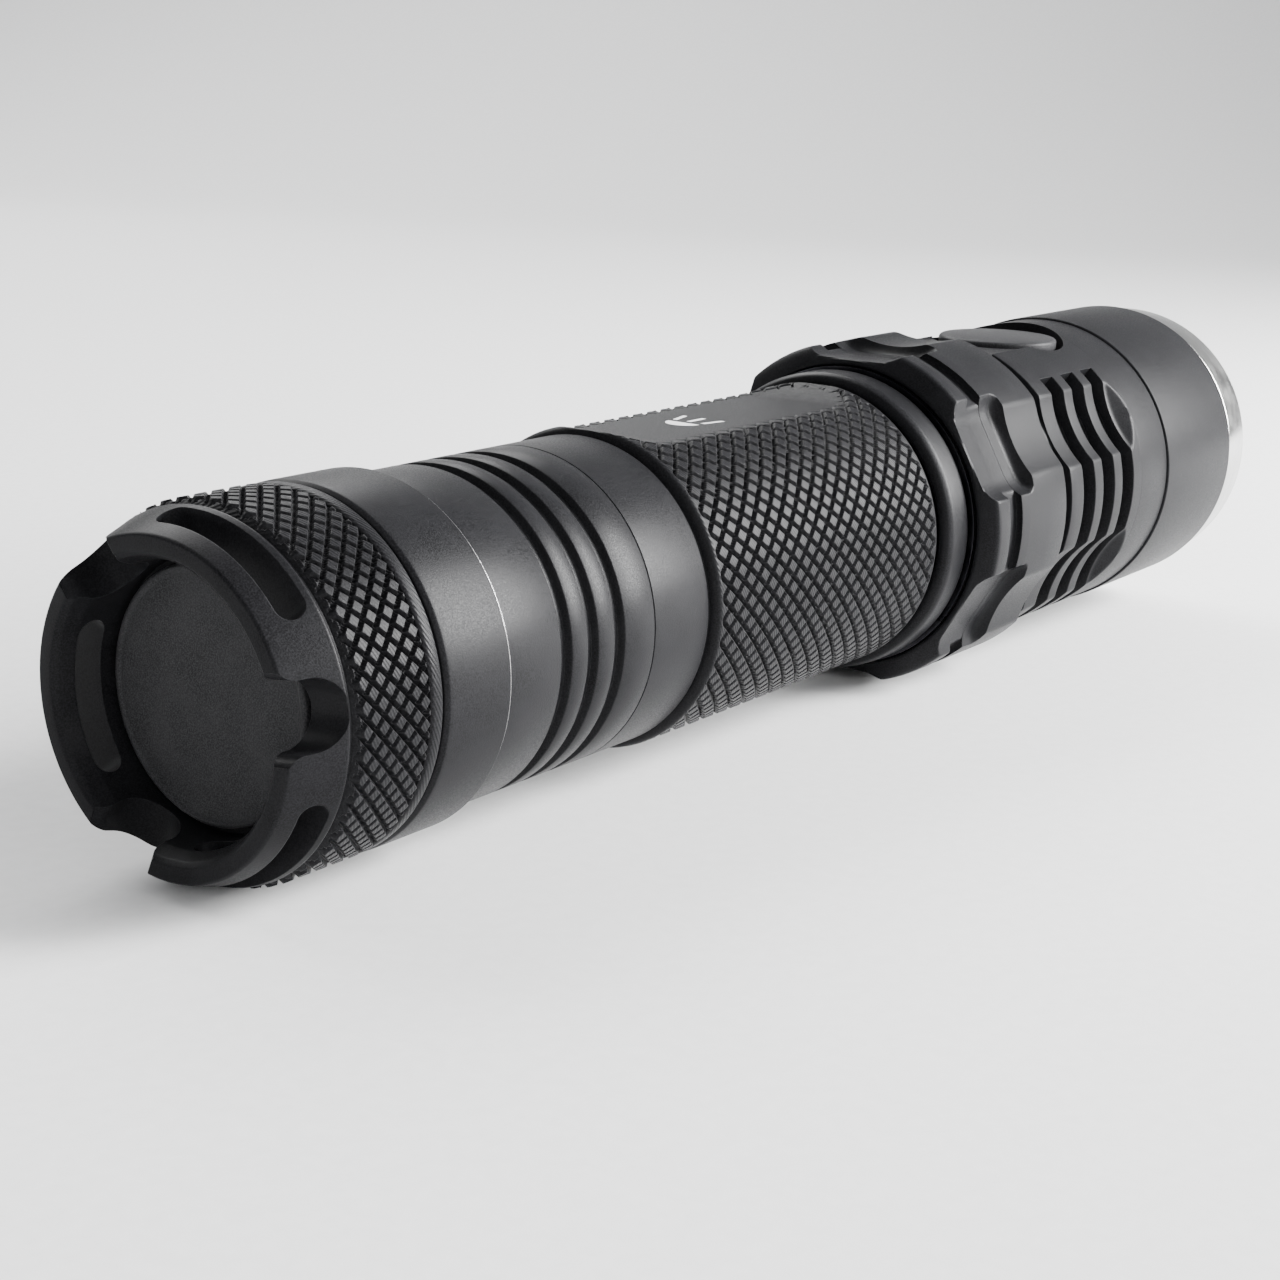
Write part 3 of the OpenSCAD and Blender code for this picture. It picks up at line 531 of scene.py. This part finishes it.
def tail_cap():
    """The cap's machined body: crown, notches, slots, with a channel for the knurled band."""
    floor = CAP_R - 0.6
    outer = [(0.12, 11.25), (1.0, 11.55), (2.4, 12.0), (3.85, 12.45), (4.0, 12.45), (4.2, 12.15),
             (CAP_CHANNEL[0], floor), (CAP_CHANNEL[1], floor), (CAP_CHANNEL[1], 12.55),
             (12.78, 12.66), (12.95, 12.78), (13.3, CAP_R), (19.0, CAP_R), (19.17, 12.66)]
    inner = [(19.17, 10.75), (17.2, 10.75), (17.2, 10.45), (14.5, 10.45), (14.5, 10.2), (6.3, 10.2),
             (6.3, 8.78), (5.1, 8.78), (5.1, 9.2), (3.2, 9.27), (1.4, 9.35), (0.35, 9.75),
             (0.02, 10.08), (0.0, 10.2), (0.0, 11.1)]
    mesh = turned("tail_cap", outer + inner, 360, 0.08)
    mesh = cut_by(mesh, [crown_notch(a) for a in NOTCH_TURNS] + [lanyard_slot(a) for a in SLOT_TURNS])
    return finish_piece("cap_body", mesh, "tail_cap", BLACK, ["tail_cap"])


def knurl_rows(start, end, pitch):
    step = pitch / KNURL_STEPS
    return np.arange(math.floor((end - start) / step + 1e-6) + 1) * step + start


def knurled(rows, around, pitch, top, floor):
    """Turns and radii of crossed helical V grooves cut into rows with the given top radii."""
    turns = np.arange(around * KNURL_STEPS) * 360 / (around * KNURL_STEPS)
    depth = knurl_depth(rows, turns, pitch, around, rows[0], GROOVE_SHARE)
    grooves = floor + KNURL_DEPTH * (1 - depth)
    return turns, np.minimum(np.asarray(top)[:, None], grooves)


def cap_knurl():
    """The cap's knurled band with its ragged chamfered start, and the plain lip beside it."""
    inner = CAP_R - 0.65
    rows = knurl_rows(*CAP_KNURL, CAP_PITCH)
    top = np.minimum(CAP_R, 12.28 + 1.15 * (rows - CAP_KNURL[0]))
    top = np.minimum(top, CAP_R - 0.5 * np.clip(rows - CAP_KNURL[1] + 0.12, 0, 1))
    turns, knurl = knurled(rows, CAP_AROUND, CAP_PITCH, top, CAP_R - KNURL_DEPTH)
    start = [(CAP_CHANNEL[0] + 0.01, inner), (CAP_CHANNEL[0] + 0.02, 12.1), (4.4, 12.2)]
    end = [(11.16, 12.42), (11.24, 12.6), (11.36, 12.7), (11.5, 12.74), (12.1, 12.74),
           (12.26, 12.7), (12.36, 12.58), (12.4, 12.42), (CAP_CHANNEL[1] - 0.02, 12.4),
           (CAP_CHANNEL[1] - 0.01, inner)]
    fill = np.ones(len(turns))
    radii = np.concatenate([[p[1] * fill for p in start], knurl, [p[1] * fill for p in end]])
    mesh = lattice("cap_knurl", [p[0] for p in start] + list(rows) + [p[0] for p in end], radii, turns)
    unroll(mesh)
    return finish_piece("cap_knurl", mesh, "tail_cap", KNURL, ["tail_cap"], 24)


def cap_seam_highlight():
    """A thin ring of bright metal at the cap's corner where it meets the tube's neck: a painted
    highlight for the light that the edge catches.
    """
    mesh = turned("cap_seam_highlight", [(19.1, 12.5), (19.1, 12.7), (19.16, 12.7), (19.2, 12.62), (19.2, 12.5)],
                  256, 0.02)
    return finish_piece("cap_seam_highlight", mesh, "tail_cap", SEAM_HIGHLIGHT, ["tail_cap"])


def tail_button():
    """The tail button: a flat blasted face inside a thin rounded rim."""
    face, under = 4.22, 7.16
    mesh = turned("tail_button", [
        (face, 0), (face, 8.05), (face - 0.04, 8.18), (4.1, 8.34), (4.1, 8.5),
        (4.22, 8.66), (4.4, 8.7), (6.5, 8.7), (6.5, 9.5), (under, 9.5), (under, 4.0), (7.9, 4.0),
        (7.9, 0)],
        256, 0.07)
    return finish_piece("tail_button_disc", mesh, "tail_button", BUTTON,
                        ["tail_button"])


def button_spring():
    """The button's conical return spring, built as a fixed coil of wire."""
    start, end, wire, coils = 7.22, 9.28, 0.2, 1.75
    rings = []
    for f in np.linspace(0, 1, 140):
        s = start + wire + (end - start - 2 * wire) * f
        rings.append([at(s + wire * math.sin(b), 7.5 + 0.8 * f + wire * math.cos(b), 360 * coils * f)
                      for b in np.linspace(0, 2 * math.pi, 12, endpoint=False)])
    piece = finish_piece("button_spring_wire", skin("button_spring", rings), "tail_cap",
                         SPRING, ["button_spring"])
    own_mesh(piece)


# ---- battery tube ----------------------------------------------------------------------------

GRIP_R = 12.7
TUBE_PITCH, TUBE_AROUND = 1.98, 47
TUBE_KNURL = (44.25, 76.9)
THREAD_PITCH = 1.25
FLAT_H = 11.55
FLAT = (48.5, 72.5)
FLAT_MILL_R = 12.0


def flat_height(s):
    """Height of the milled flat over the axis at a station, rising where the mill runs out."""
    past = np.maximum(np.maximum(FLAT[0] - s, s - FLAT[1]), 0)
    past = np.minimum(past, FLAT_MILL_R - 0.1)
    return FLAT_H + FLAT_MILL_R - np.sqrt(FLAT_MILL_R**2 - past**2)


def thread_rows(start, end, r, depth):
    """Rows of a helical thread as (station, radius by turn) with flat crests and roots."""
    rows = np.arange(start, end, THREAD_PITCH / 12)
    fade = np.clip(np.minimum(rows - start, end - rows) / 0.5, 0, 1)[:, None]

    def radii(turns):
        wave = np.abs(2 * (((rows[:, None] / THREAD_PITCH + turns[None, :] / 360) % 1) - 0.5))
        return r - depth * fade * np.clip(1.6 * wave - 0.3, 0, 1)

    return rows, radii


def battery_tube():
    """Threaded spigot, neck with three grooves, and knurled grip with its milled flat."""
    neck_r = 12.15
    spigot = [(14.6, 9.45), (14.6, 10.1), (14.75, 10.3)]
    neck = [(17.25, 10.35), (17.4, 10.3), (17.42, 9.95), (18.88, 9.95), (18.9, 10.35), (19.4, 10.35),
            (19.4, neck_r - 0.1), (19.5, neck_r)]
    for middle_s in (25.9, 28.9, 32.0):
        for offset, r in ((-0.72, 0), (-0.64, 0.03), (-0.56, 0.16), (-0.5, 0.38), (-0.4, 0.53),
                          (0.4, 0.53), (0.5, 0.38), (0.56, 0.16), (0.64, 0.03), (0.72, 0)):
            neck.append((middle_s + offset, neck_r - r))
    neck += [(36.1, neck_r), (36.2, neck_r - 0.03), (36.26, neck_r - 0.1), (36.3, neck_r)]
    neck += [(42.9, neck_r), (43.12, neck_r - 0.06), (43.26, neck_r - 0.2), (43.36, 11.8),
             (43.5, 11.75), (43.62, 11.85), (43.68, 12.2), (43.78, 12.45), (43.92, 12.6),
             (44.08, 12.68), (44.2, GRIP_R)]
    end = [(77.1, GRIP_R), (77.3, 12.66), (77.62, 12.4), (78.1, 12.1), (78.2, 11.95), (78.2, 11.2),
           (80.2, 11.2), (80.2, 10.4), (81.4, 10.4), (81.4, 11.2), (86.6, 11.2), (86.8, 11.0),
           (86.8, 9.45)]
    rows = knurl_rows(*TUBE_KNURL, TUBE_PITCH)
    top = GRIP_R * np.ones(len(rows))
    turns, knurl = knurled(rows, TUBE_AROUND, TUBE_PITCH, top, GRIP_R - KNURL_DEPTH)
    fill = np.ones(len(turns))
    thread_s, thread_r = thread_rows(14.8, 17.2, 10.35, 0.45)
    parts = [([p[0] for p in spigot], [p[1] * fill for p in spigot]), (thread_s, thread_r(turns)),
             ([p[0] for p in neck], [p[1] * fill for p in neck]), (rows, knurl),
             ([p[0] for p in end], [p[1] * fill for p in end])]
    stations = np.concatenate([part[0] for part in parts])
    radii = np.concatenate([np.asarray(part[1]) for part in parts])
    cosine = np.maximum(np.cos(np.radians(fold(turns, 0, 360))), 0.05)
    flat = flat_height(stations)[:, None] / cosine[None, :]
    in_flat = ((stations > 43.4) & (stations < 78.0))[:, None]
    radii = np.where(in_flat, soft_min(radii, flat, 0.05), radii)
    mesh = lattice("battery_tube", stations, radii, turns)
    unroll(mesh)
    return finish_piece("tube_knurled", mesh, "light", KNURL, ["battery_tube"], 24)


def flat_mark():
    """A generic beam symbol printed on the flat: a half disc and three rays."""
    lift = 0.012
    centre_s, r = 56.6, 1.5
    shapes = [[(centre_s, r)] + [(centre_s - r * math.sin(math.radians(a)),
                                  r * math.cos(math.radians(a))) for a in range(15, 181, 15)]]
    for offset, slant in ((-1.35, -0.5), (0, 0), (1.35, 0.5)):
        a, b = (centre_s + 0.7, offset), (centre_s + 2.9, offset + slant)
        shapes.append([(a[0], a[1] - 0.2), (b[0], b[1] - 0.2), (b[0], b[1] + 0.2), (a[0], a[1] + 0.2)])
    bm = bmesh.new()
    for shape in shapes:
        low, high = ([bm.verts.new((TAIL_X + s * MM, y * MM, AXIS_Z + (FLAT_H + h) * MM))
                      for s, y in shape] for h in (-0.05, lift))
        bm.faces.new(low)
        bm.faces.new(high)
        for i in range(len(shape)):
            k = (i + 1) % len(shape)
            bm.faces.new((low[i], low[k], high[k], high[i]))
    bmesh.ops.recalc_face_normals(bm, faces=bm.faces)
    mesh = bpy.data.meshes.new("flat_mark")
    bm.to_mesh(mesh)
    bm.free()
    return finish_piece("flat_mark", mesh, "light", INK)


# ---- selector ring and collar ----------------------------------------------------------------

RING_R = 15.64
SCALLOPS = 6


POCKET_END = 90.4
POCKET_FILLET = 1.1


def ring_cut(stations, turns):
    """Deep thumb pockets behind 90.4 mm and shallow scallops in front of it."""
    folded = fold(turns, 0, 360 / SCALLOPS)
    corner_r, floor_r, floor_half = 3.2, 14.0, 2.6
    deep = np.minimum(
        round_cut(np.abs(folded), floor_r + corner_r, floor_half, corner_r),
        np.where(np.abs(floor_r * np.tan(np.radians(folded))) < floor_half,
                 floor_r / np.cos(np.radians(folded)), FAR))
    shallow = scallop_cut(folded, RING_R, 14.75, 12.5)
    s = np.asarray(stations)[:, None]
    into = np.clip((s - (POCKET_END - POCKET_FILLET)) / POCKET_FILLET, 0, 1)
    fillet = POCKET_FILLET * (1 - np.sqrt(1 - into**2))
    rise = 0.25 * np.clip((86.5 - s) / 4, 0, 1)
    return np.where(s < POCKET_END, np.minimum(deep[None, :] + rise + fillet, shallow[None, :]),
                    shallow[None, :])


def selector_ring():
    outline = [(83.5, 12.98), (83.5, 13.75), (82.6, 13.75), (82.6, 14.05), (82.64, 14.2),
               (82.8, 14.65), (83.0, 15.1), (83.18, 15.4), (83.4, 15.58), (83.7, RING_R),
               (85.46, RING_R), (85.5, 14.95), (87.86, 14.95), (87.9, RING_R)]
    rows = [(s, RING_R) for s in POCKET_END - POCKET_FILLET * np.cos(np.radians(np.arange(0, 91, 9)))]
    outline = soften(outline, 0.12) + rows + [(POCKET_END + 0.02, RING_R), (90.6, RING_R)]
    outline += soften([(90.6, RING_R), (93.0, RING_R), (96.8, RING_R), (96.8, 12.98), (90.0, 12.98)],
                      0.2)[4:-4] + [(96.8, 12.98)]
    stations = np.array([p[0] for p in outline])
    turns = np.arange(720) * 0.5
    radii = np.array([[p[1]] for p in outline]) * np.ones((1, len(turns)))
    radii = soft_min(radii, ring_cut(stations, turns), 0.16)
    mesh = lattice("selector_ring", stations, radii, turns)
    return finish_piece("selector_ring_cut", mesh, "selector", BLACK, ["selector_ring"])


def retainer():
    mesh = turned("ring_retainer", [
        (78.4, 12.2), (78.4, 12.75), (78.55, 13.15), (79.1, 13.4), (81.5, 13.4), (82.0, 13.2),
        (82.2, 12.8), (82.2, 12.2)], 256, 0.25)
    return finish_piece("retainer_collar", mesh, "light", COLLAR, ["ring_retainer"])


# ---- head ------------------------------------------------------------------------------------

HEAD_R = 14.7
SLEEVE_R = 14.9
PAD_HALF = 38.7
GROOVES = (102.55, 106.95, 111.35)
GROOVE_W, GROOVE_R = 2.55, 12.6
FINS_END, RUN_OUT = 114.2, 1.5
SIDE_S = 111.4
SIDE_POCKET_R = 6.5


def head_radii(stations, base, turns):
    """The head's radius: scallops on the fins, and grooves that stop at the button's pad."""
    s = np.asarray(stations)
    folded = fold(turns, 0, 60)
    on_pad = np.abs(fold(turns, 0, 360)) < 30
    floor, half = 13.6, 14.25
    centre = (HEAD_R**2 - floor**2) / (2 * HEAD_R * math.cos(math.radians(half)) - 2 * floor)
    radii = base.copy()
    for i in np.nonzero((s > 99.0) & (s < FINS_END + RUN_OUT))[0]:
        slope = max(0, (s[i] - FINS_END) / RUN_OUT)
        cutter = centre - floor - (HEAD_R - floor) * slope
        scallop = np.where(on_pad, FAR, round_cut(folded, centre, 0, cutter))
        radii[i] = soft_min(base[i], scallop, 0.12)
    past_pad = np.clip((np.abs(fold(turns, 0, 360)) - PAD_HALF) / 0.3, 0, 1)
    for start in GROOVES:
        inside = (s > start - 0.005) & (s < start + GROOVE_W + 0.005)
        radii[inside] -= (radii[inside] - GROOVE_R) * past_pad
        for i in np.nonzero((np.abs(s - start - GROOVE_W / 2) < GROOVE_W / 2 + 0.14) & ~inside)[0]:
            beside = min(abs(s[i] - start), abs(s[i] - start - GROOVE_W))
            radii[i] -= (0.12 - math.sqrt(max(0, 0.12**2 - (0.12 - min(beside, 0.12))**2))) * past_pad
    return radii


def head_body():
    start = soften([(79.4, 11.25), (79.4, 12.1), (82.2, 12.1), (82.2, 12.9), (97.1, 12.9),
                    (97.1, 13.4), (99.9, 13.4), (99.9, HEAD_R), (101.2, HEAD_R)], 0.15)[4:-4]
    start = [(79.4, 11.25)] + start + [(101.2, HEAD_R)]
    rows = []
    for g in GROOVES:
        rows += [(g - d, HEAD_R) for d in (0.14, 0.1, 0.06, 0.02, 0.006)] + [(g, HEAD_R)]
        rows += [(g + GROOVE_W, HEAD_R)] + [(g + GROOVE_W + d, HEAD_R)
                                            for d in (0.006, 0.02, 0.06, 0.1, 0.14)]
    rows += [(FINS_END + RUN_OUT * f, HEAD_R) for f in np.linspace(0.12, 1, 9)]
    end = soften([(116.0, HEAD_R), (122.02, HEAD_R), (122.1, HEAD_R - 0.08), (122.1, 13.3),
                  (128.5, 13.3), (128.5, 11.5), (116.8, 11.5), (116.8, 0.02), (97.6, 0.02),
                  (97.6, 9.3), (91.6, 9.3), (91.6, 10.6), (87.0, 10.6), (87.0, 11.25)], 0.06)
    points = start + rows + end
    stations = np.array([p[0] for p in points])
    turns = np.arange(720) * 0.5
    base = np.array([[p[1]] for p in points]) * np.ones((1, len(turns)))
    outer = ((base[:, 0] > 13.35) & (stations > 97.0) & (stations < 122.0))[:, None]
    radii = np.where(outer, head_radii(stations, base, turns), base)
    mesh = cut_by(lattice("head_body", stations, radii, turns), [side_pocket(), side_throat()])
    return finish_piece("head_finned", mesh, "light", BLACK, ["head_body"])


def standing(name, outline, segments=192, round_off=0.08):
    """A solid turned about the side button's own upright axis, from (height, radius) points."""
    mesh = turned(name, outline, segments, round_off)
    centre = at(SIDE_S, 0, 0)
    move = Matrix.Translation(centre) @ Matrix.Rotation(math.radians(-90), 4, "Y")
    mesh.transform(Matrix.Translation((-TAIL_X, 0, -AXIS_Z)))
    mesh.transform(move)
    return outward(mesh)


def side_pocket():
    return standing("side_pocket", [(11.9, 0), (11.9, SIDE_POCKET_R), (18, SIDE_POCKET_R), (18, 0)],
                    192, 0.1)


def side_throat():
    """The open way from the ring's gap to the side button's pocket."""
    half_width, floor = 5.3, 13.5
    bm = bmesh.new()
    bmesh.ops.create_cube(bm, size=1)
    mesh = bpy.data.meshes.new("side_throat")
    bm.to_mesh(mesh)
    bm.free()
    size = Vector(((SIDE_S - 98.7) * MM, 2 * half_width * MM, 5 * MM))
    centre = at((SIDE_S + 98.7) / 2, floor + 2.5, 0)
    mesh.transform(Matrix.Translation(centre) @ Matrix.Diagonal((*size, 1)))
    return mesh


def side_button():
    """A round metal disc, gently domed, with a rounded edge and its stem."""
    mesh = standing("side_button", [
        (11.8, 0), (11.8, 1.5), (12.95, 1.5), (12.95, 5.8), (13.75, 5.8), (13.95, 5.6),
        (14.05, 4.9), (14.15, 4.0), (14.24, 2.6), (14.3, 0)], 192, 0.12)
    return finish_piece("side_button_disc", mesh, "side_button", BUTTON,
                        ["side_button"])


def head_sleeve():
    mesh = turned("head_sleeve", [
        (122.12, 13.4), (122.12, SLEEVE_R - 0.14), (122.18, SLEEVE_R - 0.05), (122.26, SLEEVE_R),
        (138.36, SLEEVE_R), (138.5, SLEEVE_R - 0.14), (138.5, 13.75), (134.3, 13.75), (134.3, 13.0),
        (128.7, 13.0), (128.7, 13.4)], 256, 0.05)
    return finish_piece("sleeve_turned", mesh, "light", BLACK, ["head_sleeve"])


def bezel():
    mesh = turned("bezel_ring", [
        (134.5, 12.9), (134.5, 13.65), (138.52, 13.65), (138.52, 14.7), (138.7, 14.8),
        (144.1, 14.2), (144.8, 13.5), (144.8, 12.6), (143.4, 11.9), (142.9, 11.9), (142.9, 12.9)],
        256, 0.25)
    return finish_piece("bezel_polished", mesh, "light", STEEL, ["bezel_ring"])


# ---- stage, lights and camera ----------------------------------------------------------------


def stage():
    """A pale sweep that the ring's lands and the tail cap both rest on."""
    ring_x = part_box("selector_ring")[0].x
    cap_bottom = AXIS_Z - CAP_R * MM
    tilt = math.atan2(cap_bottom, ring_x - TAIL_X - CAP_CHANNEL[0] * MM)
    bend, reach, back, height = 0.6, 0.75, 1.6, 1.6
    profile = [(-back, 0), (reach, 0)]
    profile += [(reach + bend * math.sin(math.radians(a)), bend * (1 - math.cos(math.radians(a))))
                for a in range(6, 91, 6)]
    profile.append((reach + bend, height))
    away = Vector((0.816, 0.578, 0))
    across = Vector((0.578, -0.816, 0))
    bm = bmesh.new()
    rows = [[bm.verts.new(away * d + across * w + Vector((0, 0, h))) for w in (-3, -1, 1, 3)]
            for d, h in profile]
    for a, b in zip(rows, rows[1:]):
        for i in range(3):
            bm.faces.new((a[i], a[i + 1], b[i + 1], b[i]))
    bmesh.ops.recalc_face_normals(bm, faces=bm.faces)
    mesh = bpy.data.meshes.new("floor")
    bm.to_mesh(mesh)
    bm.free()
    mesh.polygons.foreach_set("use_smooth", [True] * len(mesh.polygons))
    floor = bpy.data.objects.new("floor", mesh)
    bpy.context.scene.collection.objects.link(floor)
    floor.matrix_world = Matrix.Translation((ring_x, 0, 0)) @ Matrix.Rotation(tilt, 4, "Y")
    n = Nodes("floor_paper")
    paper = n.noise(0.8, 4)
    n.link(n.mix(n.ramp(paper, 0, 1), (0.78, 0.78, 0.78), (0.81, 0.81, 0.81)),
           n.shader.inputs["Base Color"])
    set_shader(n, Roughness=0.9)
    mesh.materials.append(n.material)


def softbox(name, place, aim, size, energy):
    light = bpy.data.lights.new(name, "AREA")
    light.shape, light.size, light.size_y, light.energy = "RECTANGLE", size[0], size[1], energy
    lamp = bpy.data.objects.new(name, light)
    bpy.context.scene.collection.objects.link(lamp)
    lamp.location = place
    lamp.rotation_euler = (Vector(aim) - Vector(place)).to_track_quat("-Z", "Y").to_euler()


def lights():
    world = bpy.data.worlds.new("studio")
    world.use_nodes = True
    world.node_tree.nodes["Background"].inputs["Color"].default_value = (0.92, 0.94, 0.97, 1)
    world.node_tree.nodes["Background"].inputs["Strength"].default_value = 0.34
    bpy.context.scene.world = world
    softbox("side_softbox", (-0.05, -0.80, 0.30), at(50, 0, 0), (0.8, 0.16), 3)
    softbox("head_softbox", (0.34, -0.34, 0.22), at(130, 0, 0), (0.22, 0.30), 17)
    softbox("tail_softbox", (-0.60, -0.30, 0.25), at(85, 0, 0), (0.35, 0.35), 0.8)
    softbox("back_softbox", (0.25, 0.75, 0.70), at(70, 0, 0), (1.2, 0.5), 16)


def camera():
    """The camera at the photograph's viewing angle: behind the tail, to its right and above."""
    right = Vector((0.5848, -0.8105, 0.0315))
    up = Vector((0.1912, 0.1755, 0.9657))
    back = right.cross(up).normalized()
    up = back.cross(right).normalized()
    right = right.normalized()
    data = bpy.data.cameras.new("camera")
    data.sensor_width, data.lens = 36.0, 63.04
    data.clip_start, data.clip_end = 0.005, 20
    eye = bpy.data.objects.new("camera", data)
    bpy.context.scene.collection.objects.link(eye)
    eye.matrix_world = Matrix.Translation((TAIL_X - 0.0914, -0.1013, AXIS_Z + 0.0411)) @ Matrix(
        (right, up, back)).transposed().to_4x4()
    bpy.context.scene.camera = eye


# ---- build -----------------------------------------------------------------------------------

camera()
paint_nodes()
for build in (tail_cap, cap_knurl, cap_seam_highlight, tail_button, button_spring, battery_tube, flat_mark,
              selector_ring, retainer, head_body, side_button, head_sleeve, bezel):
    build()
stage()
lights()
